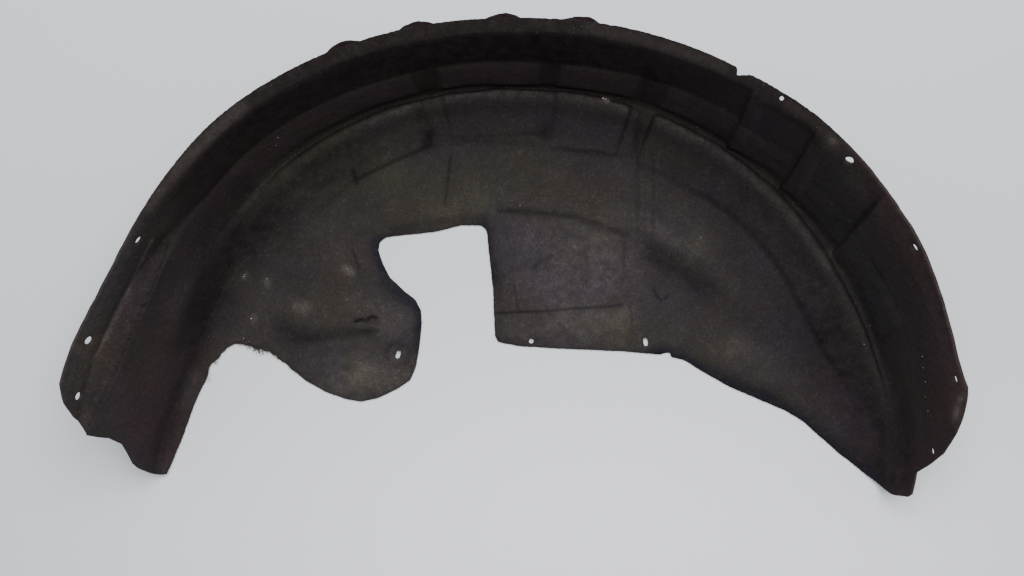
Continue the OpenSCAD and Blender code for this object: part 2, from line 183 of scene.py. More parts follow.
# Height as a share of the depth, and the angle at which each leg ends there
left_end_share = [
    (0, 182.7), (0.05, 182.7), (0.13, 182), (0.19, 181.4), (0.25, 180.8), (0.32, 179.9), (0.39, 177.9),
    (0.446, 176.5), (0.56, 175.4), (0.67, 175), (0.79, 174.4), (0.836, 172.4), (0.878, 171.8),
    (0.938, 170.3), (0.965, 169.3), (1, 167.7)]
right_end_share = [
    (0, -5.3), (0.2, -5.1), (0.273, -4.9), (0.32, -4.3), (0.345, -2.4), (0.362, -1), (0.45, 0), (0.49, 0.5),
    (0.647, 2.6), (0.82, 6), (0.9, 8.3), (0.958, 10.1), (1, 12.1)]
left_start, right_start = 140, 50
# Middle and half width in degrees of each channel, and how much of it crosses the bead and the band
channels = [(103.3, 1.5, 0.35), (85.2, 1.1, 0.25), (71, 1.5, 0.85)]
channel_ramp = 0.6
lap_turns = [25, 37.2, 37.6, 49.5, 49.9, 59, 59.4]
lap_out = [0, 1, 0, 1, 0, 1, 0]
# Points of the section between its lines, from the lip in to the disc, as shares of the way
top_down_share = [0, 0.08, 0.19, 0.34]
lip_in_share = [0, 0.75, 0.93, 1.04]
lip_fall_share = [0, 0, 0.35, 1.5]
top_lap_share = [0, 0.2, 0.7, 1]
gutter_share = [(0.18, 0.25, 0), (0.50, 0, 0), (0.70, 0, 0.25), (0.80, 0, 0.68)]
band_share = [(0, 0), (0.12, 0.06), (0.32, 0.32), (0.62, 0.68), (0.90, 1)]
step_share = [(0.97, 0.80), (1.08, 0.20), (1.16, 0)]
leg_in_share = [0, 0.12, 0.25, 0.38, 0.50, 0.60, 0.68, 0.75, 0.82, 0.90, 1, 1.18, 1.40, 1.70, 2]
leg_up_share = [0.99, 0.84, 0.70, 0.61, 0.55, 0.48, 0.39, 0.30, 0.22, 0.15, 0.085, 0.042, 0.016, 0.002, 0]
disc_share = [0.35, 0.70, 1]


def mix(a, b, f):
    return a + (b - a)*f


def along(turns, knots, unit=1):
    """A smooth line through a list of knots, one every ten degrees, in parts of a unit."""
    knots = np.array(knots)/unit
    last = len(knots) - 1
    u = np.clip((turns - first_knot)/knot_gap, 0, last - 0.0001)
    i = np.floor(u).astype(int)
    f = u - i
    a, b, c, d = knots[np.maximum(i - 1, 0)], knots[i], knots[i + 1], knots[np.minimum(i + 2, last)]
    return b + 0.5*f*(c - a + f*(2*a - 5*b + 4*c - d + f*(3*(b - c) + d - a)))


def channel(turns, low):
    """How far a channel between two panels has sunk, on the wall or across bead and band."""
    return np.max([np.clip((half + channel_ramp - abs(turns - middle))/channel_ramp, 0, 1)*mix(1, across, low)
                   for middle, half, across in channels], axis=0)


def section(turns):
    """The section's points at each angle, as radius and height, from the lip's edge in to the disc."""
    edge, waist, foot, crest, inner, toe = [arch_radius*along(turns, line, 1000) for line in (
        edge_line, waist_line, foot_line, crest_line, inner_line, toe_line)]
    flat, leg, ledged = [np.clip(along(turns, share), 0, 1) for share in (flat_share, leg_share, ledge_share)]
    lap = lap_rise*np.interp(turns, lap_turns, lap_out)
    sunk, cross = channel(turns, 0), channel(turns, 1)
    waist_up = mix(waist_height, depth - ledge_drop, ledged)
    points = [(mix(mix(edge, waist, down), edge - lip_width*inward, flat) - lap*held,
               mix(mix(depth, waist_up, down), depth - drop*lip_fold, flat))
              for down, inward, drop, held in zip(
                  top_down_share, lip_in_share, lip_fall_share, top_lap_share)]
    points.append((mix(points[3][0], waist - lap, 0.5) - crease_rise*ledged,
                   mix(points[3][1], waist_up, 0.5)))
    points.append((waist - lap, waist_up + waist_turn))
    panel = panel_rise*np.maximum(0, along(turns, panel_share))*(1 - sunk)
    gap, band = foot - crest, crest - inner
    bead = bead_height*along(turns, bead_share)*(1 - cross)
    rim = mix(band_height, sheet, 0.7*cross)
    ledge = waist - mix(waist_turn/2, np.interp(turns, *zip(*ledge_widths)), ledged)
    flank = [(waist - panel - lap, waist_up - waist_turn),
             (np.minimum(mix(waist - panel, foot - 0.5*panel, 0.5), waist) - lap,
              mix(waist_up, foot_height, 0.5)),
             (foot - 0.5*panel - lap, foot_height)]
    flank += [(mix(foot - lap*(1 - g[0]), crest, g[0]),
               gutter_height + (foot_height - gutter_height)*g[1] + bead*g[2]) for g in gutter_share]
    flank += [(crest - band*b[0], mix(gutter_height + bead, rim, b[1])) for b in band_share]
    flank += [(crest - band*p[0], mix(sheet, rim, p[1])) for p in step_share]
    for (r, z), inward, up in zip(flank, leg_in_share, leg_up_share):
        points.append((mix(r, mix(ledge, toe, inward), leg),
                       mix(z, mix(sheet, waist_up - waist_turn, up), leg)))
    points += [(mix(points[-1][0], open_radius, d), sheet + 0*turns) for d in disc_share]
    return np.array([p[0] for p in points]), np.array([p[1] + 0*turns for p in points])


def soften(points, times):
    """Rubs a run of points smooth in place, all but its first and last."""
    for rub in range(times):
        points[1:-1] = 0.25*points[:-2] + 0.5*points[1:-1] + 0.25*points[2:]
    return points


def turned(turns, heights):
    """Angle of a point of the shell, drawn to the ends of the two legs and leaning as the laps do."""
    h = np.clip(heights/depth, 0, 1)
    left = np.clip((turns - left_start)/(last_turn - left_start), 0, 1.05)
    right = np.clip((right_start - turns)/(right_start - first_turn), 0, 1.05)
    left_end = np.interp(h, *zip(*left_end_share)) - last_turn
    right_end = np.interp(h, *zip(*right_end_share)) - first_turn
    return turns + left**2*left_end + right**2*right_end - along(turns, lean_turns)*(1 - h)


# The section is drawn finely, a row to each millimetre, and its corners are rubbed soft as felt's are
turn_step = 0.125
columns = np.arange(first_turn - 3, last_turn + 3, turn_step)
ring_r, ring_z = section(columns)
ring_length = np.hypot(np.diff(ring_r, axis=0), np.diff(ring_z, axis=0)).mean(axis=1)
parts = np.maximum(2, np.ceil(ring_length)).astype(int)
ring_at = np.concatenate([k + np.arange(n)/n for k, n in enumerate(parts)] + [[len(parts)]])
ring_low = np.minimum(ring_at.astype(int), len(parts) - 1)
ring_part = (ring_at - ring_low)[:, None]
row_r = mix(ring_r[ring_low], ring_r[ring_low + 1], ring_part)
row_z = mix(ring_z[ring_low], ring_z[ring_low + 1], ring_part)
for rows in (row_r, row_z):
    soften(rows, 5)
    soften(rows.T, 1)
row_turn = np.radians(turned(columns[None, :] + 0*row_z, row_z))
skin = np.array([row_r*np.cos(row_turn) + axle[0], row_r*np.sin(row_turn) + axle[1], row_z])
down_rows, over_columns = np.gradient(skin, axis=(1, 2))
skin_normal = np.cross(over_columns, down_rows, axis=0)
skin_normal /= np.linalg.norm(skin_normal, axis=0)
skin_normal *= np.sign(skin_normal[2, -1].mean())
# Laid flat, the surface is a half ring, whose radius is the distance along the section
row_length = np.hypot(np.diff(row_r, axis=0), np.diff(row_z, axis=0)).mean(axis=1)
flat_radius = open_radius + np.append(np.cumsum(row_length[::-1])[::-1], 0)


def pick(field, turns, rows):
    """The value of a field of the surface at any angle and row."""
    u = np.clip((turns - columns[0])/turn_step, 0, len(columns) - 1.001)
    v = np.clip(rows, 0, field.shape[-2] - 1.001)
    i, j = u.astype(int), v.astype(int)
    fu, fv = u - i, v - j
    above = mix(field[..., j, i], field[..., j, i + 1], fu)
    return mix(above, mix(field[..., j + 1, i], field[..., j + 1, i + 1], fu), fv)


find_shifts, find_halvings = 30, 16


def find(angle, target, field):
    """Angle and row on the surface of points at an angle about the axle and at a radius or height."""
    turns = angle.copy()
    for shift in range(find_shifts):
        low, high = np.zeros_like(turns), np.full_like(turns, len(flat_radius) - 1.0)
        for halving in range(find_halvings):
            middle = (low + high)/2
            inside = pick(field, turns, middle) > target
            low, high = np.where(inside, middle, low), np.where(inside, high, middle)
        turns += angle - turned(turns, pick(row_z, turns, low))
    return turns, low


def turn_of(x, y):
    """Angle about the axle of points in plan, in degrees, from the right and over the top."""
    angle = np.degrees(np.arctan2(y, x))
    return np.where(angle < -90, angle + 360, angle)


def find_below(x, y):
    """Angle and row on the surface of points given in plan, in mm from the axle."""
    return find(turn_of(x, y), np.hypot(x, y), row_r)


def laid_flat(turns, rows):
    radius = np.interp(rows, np.arange(len(flat_radius)), flat_radius)
    return np.stack([radius*np.cos(np.radians(turns)), radius*np.sin(np.radians(turns))], axis=-1)


def from_flat(places):
    radius = np.hypot(places[:, 0], places[:, 1])
    rows = np.interp(-radius, -flat_radius, np.arange(len(flat_radius)))
    return turn_of(*places.T), rows


# Liner, its outline and holes. The blank was die-cut after pressing, apart from the ragged stretch
# between the left leg and the tongue, where the felt was torn off by hand.
# Points from the right leg's tip to the left leg's end, in thousandths of the arch's radius
free_edge_line = [
    (1050, -140), (965, -101), (945, -101), (930, -99), (903, -82), (883, -61), (858, -41), (821, -10),
    (797, 7), (753, 46), (707, 88), (660, 116), (600, 141), (520, 176), (459, 211), (412, 240), (380, 247),
    (379, 258), (364, 258), (355, 253), (260, 261), (100, 268), (6, 274), (-46, 284), (-54, 300),
    (-56, 350), (-59, 417), (-67, 490), (-73, 550), (-77, 564), (-90, 572), (-140, 572), (-200, 556),
    (-280, 548), (-324, 542), (-340, 530), (-343, 510), (-333, 479), (-314, 441), (-278, 408), (-250, 386),
    (-238, 360), (-236, 325), (-242, 270), (-250, 222), (-264, 190), (-298, 167), (-345, 145), (-386, 137),
    (-420, 143), (-470, 160), (-521, 188), (-565, 225), (-612, 258), (-640, 269), (-668, 278), (-698, 281),
    (-716, 270), (-742, 238), (-757, 226), (-764, 200), (-794, 135), (-825, 50), (-856, -27), (-870, -60),
    (-880, -120), (-880, -200)]
# Angle in degrees and height as a share of the depth of each hole in the wall
wall_holes = [(147.5, 0.927), (161.8, 0.92), (169.2, 0.87), (44.2, 0.957), (30.6, 0.945), (13.2, 0.93),
              (2.7, 0.552)]
wall_hole_radius = 4.75
lip_hole_turn, lip_hole_inset, lip_hole_radius = 55.6, 5.5, 2.5
# Places as shares of the arch's radius about the axle, and tilt in degrees
slots = [(-0.293, 0.253, 72), (0.317, 0.284, 100)]
slot_length, slot_width = 10.5, 6.0
disc_hole_share, disc_hole_radius = (0.035, 0.286), 3.25
nick_turn, nick_depth, nick_width = 61.8, 7.0, 7.0
torn_from, torn_to = (-0.755, 0.232), (-0.545, 0.205)
cut_step = 2.2
chance = np.random.default_rng(7)


def spread(points, step):
    """Points an even step apart along a line."""
    length = np.append(0, np.cumsum(np.hypot(*np.diff(points, axis=0).T)))
    places = np.linspace(0, length[-1], max(2, int(round(length[-1]/step)) + 1))
    return np.stack([np.interp(places, length, points[:, i]) for i in range(points.shape[1])], axis=-1)


free_edge = soften(spread(arch_radius*(np.array(free_edge_line)/1000), 1.0), 5)
torn_middle = arch_radius*(np.array(torn_from) + torn_to)/2
torn_half = arch_radius*math.dist(torn_from, torn_to)/2
torn = np.clip(1.3 - np.hypot(*(free_edge - torn_middle).T)/torn_half, 0, 1)
ragged = soften(chance.normal(size=(len(free_edge), 1)), 4)[:, 0]
ragged += 2.2*soften(chance.normal(size=(len(free_edge), 1)), 60)[:, 0]
edge_normal = np.gradient(free_edge, axis=0)[:, ::-1]*(-1, 1)
edge_normal /= np.linalg.norm(edge_normal, axis=1, keepdims=True)
free_edge += edge_normal*(ragged*(0.15 + 1.3*torn))[:, None]
free_turns, free_rows = find_below(*spread(free_edge, cut_step).T)
kept = (free_turns > first_turn) & (free_turns < last_turn)
start, stop = np.flatnonzero(kept)[[0, -1]]
first_row = np.interp(first_turn, free_turns[start - 1:start + 1], free_rows[start - 1:start + 1])
last_row = np.interp(last_turn, free_turns[stop:stop + 2], free_rows[stop:stop + 2])
cut = np.stack([free_turns[start:stop + 1], free_rows[start:stop + 1]], axis=-1)


def upright_end(turn, row):
    """The cut end of a leg, from its edge down to the free edge."""
    rows = np.linspace(0, row, int(row/cut_step))
    return np.stack([np.full_like(rows, turn), rows], axis=-1)


lip_count = int(math.radians(last_turn - first_turn)*arch_radius/cut_step)
lip_line = np.stack([np.linspace(first_turn, last_turn, lip_count), np.zeros(lip_count)], axis=-1)
from_nick = (lip_line[:, 0] - nick_turn)*math.radians(arch_radius)
nick = np.clip(1 - np.where(from_nick > 0, from_nick/(nick_width/2), -from_nick/(2*nick_width)), 0, 1)
lip_line[:, 1] += nick*nick_depth + 0.35*abs(soften(chance.normal(size=(len(lip_line), 1)), 1)[:, 0])
outline = np.concatenate([lip_line[:-1], upright_end(last_turn, last_row)[:-1], [(last_turn, last_row)],
                          cut[::-1], upright_end(first_turn, first_row)[:0:-1]])


def round_hole(radius, place_at, count=28):
    """Points of a hole's rim on the surface, in order against the outline's."""
    a = -np.linspace(0, 2*math.pi, count, endpoint=False)
    return np.stack(place_at(radius*np.cos(a), radius*np.sin(a)), axis=-1)


def heading(degrees):
    """Cosine and sine of an angle."""
    return math.cos(math.radians(degrees)), math.sin(math.radians(degrees))


def edge_radius(turn):
    """Radius of the liner's edge at one angle, in mm."""
    return arch_radius*float(along(np.array([turn]), edge_line, 1000)[0])


hole_rims = []
wall_radius = 0.97*arch_radius
for turn, high in wall_holes:
    hole_rims.append(round_hole(wall_hole_radius, lambda across, up: find(
        turn + np.degrees(across/wall_radius), depth*high + up, row_z)))
lip_hole = (edge_radius(lip_hole_turn) - lip_hole_inset)*np.array(heading(lip_hole_turn))
hole_rims.append(round_hole(lip_hole_radius, lambda x, y: find_below(lip_hole[0] + x, lip_hole[1] + y), 20))
hole_rims.append(round_hole(disc_hole_radius, lambda x, y: find_below(
    arch_radius*disc_hole_share[0] + x, arch_radius*disc_hole_share[1] + y), 24))
for x0, y0, tilt in slots:
    (c, s), half = heading(tilt), (slot_length - slot_width)/2
    hole_rims.append(round_hole(slot_width/2, lambda u, v: find_below(
        arch_radius*x0 + (u + half*np.sign(u))*c - v*s, arch_radius*y0 + (u + half*np.sign(u))*s + v*c), 26))
loops = [outline] + hole_rims


# Liner, its dents and marks. Years under a car and a rough removal left creases where the felt was
# bent, hollows where it was pushed in, and dark lines of packed dirt; painted shade darkens the creases, the
# laps' steps and the hollows as well.
ring_rows = np.append(0, np.cumsum(parts))
# Half width and depth in mm, darkness in percent, which paints packed dirt and shade along the mark, then the
# line as pairs in the picture's pixels
marks = [
    (1.3, 0.9, 75, 496, 313, 520, 312, 548, 311, 575, 308.5, 600, 307, 622, 305),
    (1.3, 0.4, 35, 514, 284, 518, 309), (1.6, 0.5, 35, 547, 308, 560, 325, 578, 342),
    (1.5, 0.4, 30, 630, 308, 633, 338), (2, 0.5, 55, 533, 268, 541, 262, 551, 256),
    (1.6, 0.4, 40, 543, 261, 549, 271), (1.6, 0.6, 45, 353, 251, 359, 268),
    (1.8, 0.3, 12, 282, 273, 300, 279, 330, 284, 352, 286, 377, 283),
    (1.9, 0.8, 100, 356, 321, 361, 319.5, 367, 320.5, 371, 317, 376, 317.5),
    (1.5, 0.5, 50, 451, 156, 448, 180, 445, 204), (2.4, 0.4, 22, 637, 120, 638, 180, 637, 247),
    (2.4, 0.4, 25, 653, 150, 653, 200, 652, 240), (2, 0.5, 50, 353, 170, 356, 183),
    (2, 0.4, 35, 353, 182, 390, 163, 427, 147), (1.8, 0.5, 50, 654, 288, 656, 296, 661, 301, 667, 297),
    (1.6, 0.4, 35, 871, 260, 883, 280, 896, 308),
    (2.8, 0.5, 42, 500, 211, 536, 212, 574, 217, 600, 225, 625, 235),
    (1.5, 0.3, 30, 625, 235, 624, 260, 621, 283), (2.5, 0.3, 30, 447, 138, 495, 135, 544, 133),
    (2.5, 0.3, 30, 562, 150, 600, 152, 633, 157), (2.4, 0.3, 60, 727, 67, 737, 77, 744, 76),
    (1.3, 0.3, 65, 169, 243, 157, 276, 147, 300, 131, 334, 115, 373, 101, 401, 89, 426),
    (1.6, -0.35, 0, 154, 236, 140, 264, 123, 303, 104, 340, 92, 362), (1.5, 0.2, 40, 752, 92, 733, 140),
    (1.5, 0.2, 40, 812, 137, 785, 184), (1.5, 0.2, 40, 875, 203, 835, 248)]
# Broader hollows in the same way, but with a half width and a depth for each of the line's points; their
# darkness is painted shade
hollows = [
    ((11, 10, 5.5, 1.5), (2.6, 2.6, 1.8, 0.2), 80, 286, 335, 300, 336, 330, 333, 378, 330),
    ((6, 11, 13, 6), (1.5, 3, 3, 1), 55, 646, 243, 668, 254, 695, 272, 724, 294),
    ((7, 7), (2, 2), 60, 429, 134, 429, 145), ((6, 6), (1.4, 1.4), 45, 546, 127, 546, 135),
    ((14, 18, 14), (0.8, 0.8, 0.3), 10, 360, 180, 352, 196, 345, 215),
    ((16, 20, 14), (1.0, 1.4, 0.8), 12, 735, 330, 765, 345, 800, 372),
    ((8, 8), (-0.6, -0.6), 0, 560, 345, 630, 352), ((26, 30), (-0.9, -0.9), -5, 560, 290, 600, 280)]


mm_per_px = 1.15


def from_line(seen, line, *values):
    """Distance in pixels from a line in the picture, with the line's values at the nearest point."""
    points = np.reshape(np.array(line, float), (-1, 2))
    near = np.full(len(seen), 1e9)
    found = [np.zeros(len(seen)) for value in values]
    for k in range(len(points) - 1):
        a, b = points[k], points[k + 1]
        f = np.clip(((seen - a) @ (b - a))/((b - a) @ (b - a)), 0, 1)
        gap = np.hypot(*(seen - a - f[:, None]*(b - a)).T)
        closer = gap < near
        near = np.where(closer, gap, near)
        for held, value in zip(found, values):
            held[closer] = mix(value[k], value[k + 1], f)[closer]
    return [near] + found


def swell(low, high, x):
    c = np.clip((x - low)/(high - low), 0, 1)
    return c*c*(3 - 2*c)


def step(x):
    """The side of a pressed form, from 0 outside it to 1 inside."""
    return swell(-step_half, step_half, x)


wave_sizes = (260, 210, 170, 150, 120, 100, 90, 75, 62, 50, 44, 38, 31, 27, 23, 20, 17, 15, 13, 11)
waves = [(chance.normal(size=3)*2*math.pi/size, chance.uniform(0, 6.28), size)
         for size in wave_sizes for twice in range(2)]


def unevenness(places, shortest, longest):
    """A smooth unevenness with bumps between two sizes in mm, mostly from -1 to 1."""
    used = [w for w in waves if shortest <= w[2] <= longest]
    return sum(np.sin(places @ w[0] + w[1]) for w in used)/math.sqrt(len(used))


def plan_from(place):
    return place[0] - axle[0], place[1] - axle[1]


def nearest_of(points):
    """A search tree for the nearest of some points in plan."""
    made = kdtree.KDTree(len(points))
    for k, point in enumerate(points):
        made.insert((point[0], point[1], 0), k)
    made.balance()
    return made


edge_tree = nearest_of(free_edge)
disc_top = 60


def surface_facts(turns, rows):
    """Place, normal, place in the picture, distance from the free edge and share in the disc."""
    place, normal = pick(skin, turns, rows), pick(skin_normal, turns, rows)
    normal = normal/np.linalg.norm(normal, axis=0)
    seen = np.stack(in_picture(*place), axis=-1)
    x, y = plan_from(place)
    rim = np.array([edge_tree.find((a, b, 0))[2] for a, b in zip(x, y)])
    low = swell(disc_top, disc_top - 40, place[2])
    rim = np.where(place[2] < disc_top, rim, 1000)
    return place, normal, seen, rim, low


# The bend along the cut edge, then the pressed forms of the disc: the lower left corner of the rib and
# of the field as shares of the arch's radius, and their sizes and steps in mm
margin_bow, margin_reach, step_half = 3.4, 13, 1.5
rib_at, rib_width, rib_length, rib_rise = (0.315, 0.430), 17, 140, 1.5
field_at, field_length, field_width, field_deep, field_tilt = (-0.026, 0.352), 146, 96, 1.1, 2
ring_outside, ring_inside, ring_rise = 12, 7.5, 1.5


def moved(turns, rows, facts):
    """How far the whole sheet and its upper face alone are pushed out along the normal, in mm."""
    place, _, seen, rim, low = facts
    both, face = np.zeros(len(turns)), np.zeros(len(turns))
    disc = swell(ring_rows[19], ring_rows[20] + 45, rows)
    inside = 1 - np.exp(-(rim/margin_reach)**2)
    both += disc*(margin_bow*inside) + (1 - disc)*low*1.2*inside
    slack = mix(1 - low, np.minimum(1, rim/40), low)
    both += slack*(0.55*unevenness(place.T, 60, 300) + 0.2*unevenness(place.T, 25, 60))
    face += 0.07*unevenness(place.T, 10, 20)
    for half, deep, dark, *line in hollows:
        gap, wide, down = from_line(seen, line, half, deep)
        both -= down*np.exp(-(gap*mm_per_px/wide)**2)*np.minimum(1, rim/8)
    for half, deep, dark, *line in marks:
        face -= deep*np.exp(-(from_line(seen, line)[0]*mm_per_px/half)**2)
    x, y = plan_from(place)
    u, v = x - arch_radius*rib_at[0], y - arch_radius*rib_at[1]
    face += rib_rise*step(u)*step(rib_width - u)*swell(-3, 3, v)*swell(-20, 0, rib_length - v)
    c, s = heading(field_tilt)
    u, v = x - arch_radius*field_at[0], y - arch_radius*field_at[1]
    u, v = u*c + v*s, v*c - u*s
    face -= field_deep*swell(-6, 6, u)*step(field_length - u)*swell(-6, 6, v)*step(field_width - v)
    ring = np.hypot(x - arch_radius*slots[0][0], y - arch_radius*slots[0][1])
    face += ring_rise*step(ring_outside - ring)*step(ring - ring_inside) + 0.3*swell(8, 6, ring)
    return both, face


plain_net, formed_net, lip_net, channel_net, lap_net, mark_net, hollow_net = 4.7, 3.2, 3.1, 2.3, 2.0, 1.9, 3


def spacing(turns, rows, seen):
    """How far apart the mesh's points should lie, in mm on the surface."""
    wanted = np.full(len(turns), plain_net)
    wanted[(rows > ring_rows[7] - 8) & (rows < ring_rows[20] + 4)] = formed_net
    wanted[rows < ring_rows[4] + 6] = lip_net
    for turn in (37.4, 49.7, 59.2):
        wanted[(abs(turns - turn) < 0.6) & (rows < ring_rows[11])] = lap_net
    for middle, half, across in channels:
        near = abs(abs(turns - middle) - half - channel_ramp/2) < 0.6
        wanted[near & (rows > ring_rows[5] - 5) & (rows < ring_rows[18])] = channel_net
    for half, deep, dark, *line in marks:
        wanted[from_line(seen, line)[0] < 3.2*half] = mark_net
    for half, deep, dark, *line in hollows:
        close = from_line(seen, line)[0] < 1.3*max(half)
        wanted = np.where(close, np.minimum(wanted, hollow_net), wanted)
    return wanted


# Liner, its mesh. The flat half ring is filled with points, closer where the felt is formed or marked,
# and joined into triangles; the back is one sheet behind the front with a coarser net of its own, and
# the cut edge between them is rounded.
rim_loops = []
for loop in loops:
    flat = laid_flat(loop[:, 0], loop[:, 1])
    area = np.sum(flat[:, 0]*np.roll(flat[:, 1], -1) - flat[:, 1]*np.roll(flat[:, 0], -1))
    wanted_sign = 1 if loop is outline else -1
    rim_loops.append(loop if area*wanted_sign > 0 else loop[::-1])
rim_flat = [laid_flat(loop[:, 0], loop[:, 1]) for loop in rim_loops]
rim_points = np.concatenate(rim_flat)
rim_out = np.concatenate([np.roll(f, -1, axis=0) - np.roll(f, 1, axis=0) for f in rim_flat])[:, ::-1]*(1, -1)
rim_out /= np.linalg.norm(rim_out, axis=1, keepdims=True)
rim_tree = nearest_of(rim_points)
raster = 3.0
corner = rim_points.min(axis=0) - raster
counts = np.ceil((rim_points.max(axis=0) - corner)/raster).astype(int) + 2
cell_lines = [corner[i] + raster*np.arange(counts[i]) for i in (0, 1)]
cells = np.stack(np.meshgrid(*cell_lines, indexing="ij"), axis=-1)
cell_turns, cell_rows = from_flat(cells.reshape(-1, 2))
cell_place = pick(skin, cell_turns, cell_rows)
cell_wanted = spacing(cell_turns, cell_rows, np.stack(in_picture(*cell_place), axis=-1))
cell_stretch = np.hypot(*cells.reshape(-1, 2).T)/np.hypot(*plan_from(cell_place))
cell_wanted = (cell_wanted*np.clip(cell_stretch, 1, 1.5)).reshape(counts)
net_growth, widest_net, back_coarseness = 1.25, 16, 1.9


def net(coarseness):
    """Angles and rows of the net's points, the rims' own first, and its triangles."""
    inner = []
    size = mark_net
    while size < widest_net:
        across = np.arange(corner[0], rim_points[:, 0].max(), size)
        up = np.arange(corner[1], rim_points[:, 1].max(), size*math.sqrt(3)/2)
        grid = np.stack(np.meshgrid(across, up), axis=-1)
        grid[1::2, :, 0] += size/2
        grid = grid.reshape(-1, 2)
        index = np.clip(((grid - corner)/raster).round().astype(int), 0, counts - 1)
        wanted = cell_wanted[index[:, 0], index[:, 1]]*coarseness
        for x, y in grid[(wanted >= size) & (wanted < net_growth*size)]:
            nearest, k, gap = rim_tree.find((x, y, 0))
            if gap > 0.75*size and (x - nearest[0])*rim_out[k, 0] + (y - nearest[1])*rim_out[k, 1] < 0:
                inner.append((x, y))
        size *= net_growth
    every = np.concatenate([rim_points, inner])
    edges, first = [], 0
    for loop in rim_flat:
        edges += [(first + k, first + (k + 1) % len(loop)) for k in range(len(loop))]
        first += len(loop)
    made = delaunay_2d_cdt([tuple(p) for p in every], edges, [], 1, 1e-6, True)
    source = np.array([min(origins) if origins else -1 for origins in made[3]])
    faces = source[np.array([f for f in made[2] if len(f) == 3])]
    # Triangles with all three corners on a rim may lie in a hole or outside, and those are dropped
    kept = (faces >= len(rim_points)).any(axis=1)
    ends = np.array(edges)
    a, b = rim_points[ends[:, 0]], rim_points[ends[:, 1]]
    for k in np.flatnonzero(~kept):
        x, y = every[faces[k]].mean(axis=0)
        crossed = (a[:, 1] > y) != (b[:, 1] > y)
        at = a[crossed, 0] + (y - a[crossed, 1])*(b - a)[crossed, 0]/(b - a)[crossed, 1]
        kept[k] = np.sum(at > x) % 2 == 1
    faces = faces[kept & (faces >= 0).all(axis=1)]
    turns, rows = from_flat(every)
    turns[:len(rim_points)], rows[:len(rim_points)] = np.concatenate(rim_loops).T
    return turns, rows, faces


front_turns, front_rows, front_faces = net(1.0)
back_turns, back_rows, back_faces = net(back_coarseness)
front_facts = surface_facts(front_turns, front_rows)
back_facts = surface_facts(back_turns, back_rows)
both, face = moved(front_turns, front_rows, front_facts)
front = (front_facts[0] + front_facts[1]*(both + face)).T
both, _ = moved(back_turns, back_rows, back_facts)
back = (back_facts[0] + back_facts[1]*(both - sheet)).T
rims = len(rim_points)
edge_out = []
first = 0
for loop in rim_flat:
    loop_points = front[first:first + len(loop)]
    run = np.roll(loop_points, -1, axis=0) - np.roll(loop_points, 1, axis=0)
    edge_out.append(np.cross(run, front_facts[1].T[first:first + len(loop)]))
    first += len(loop)
edge_out = np.concatenate(edge_out)
edge_out /= np.linalg.norm(edge_out, axis=1, keepdims=True)
bulge = (0.4 + 0.2*chance.uniform(-1, 1, size=(rims, 1)))
# The cut edge's rows: how far down the sheet, and how much of the bulge
edge_rows = ((0.22, 0.8), (0.55, 1), (0.84, 0.6))
round_rows = [front[:rims]*(1 - f) + back[:rims]*f + edge_out*bulge*out for f, out in edge_rows]
points = np.concatenate([front] + round_rows + [back])
starts = [0] + [len(front) + k*rims for k in range(3)] + [len(front) + 3*rims]
faces = [tuple(f) for f in front_faces] + [tuple(f[::-1] + starts[-1]) for f in back_faces]
first = 0
for loop in rim_flat:
    here = first + np.arange(len(loop))
    there = np.roll(here, -1)
    for low, high in zip(starts[1:], starts[:-1]):
        faces += [(a + low, b + low, b + high, a + high) for a, b in zip(here, there)]
    first += len(loop)
liner = new_object("pressed_felt_liner", (points/1000).tolist(), [tuple(int(i) for i in f) for f in faces])
liner_mesh = liner.data
liner_mesh.polygons.foreach_set("use_smooth", [True]*len(liner_mesh.polygons))
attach(liner, "root")
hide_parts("liner")
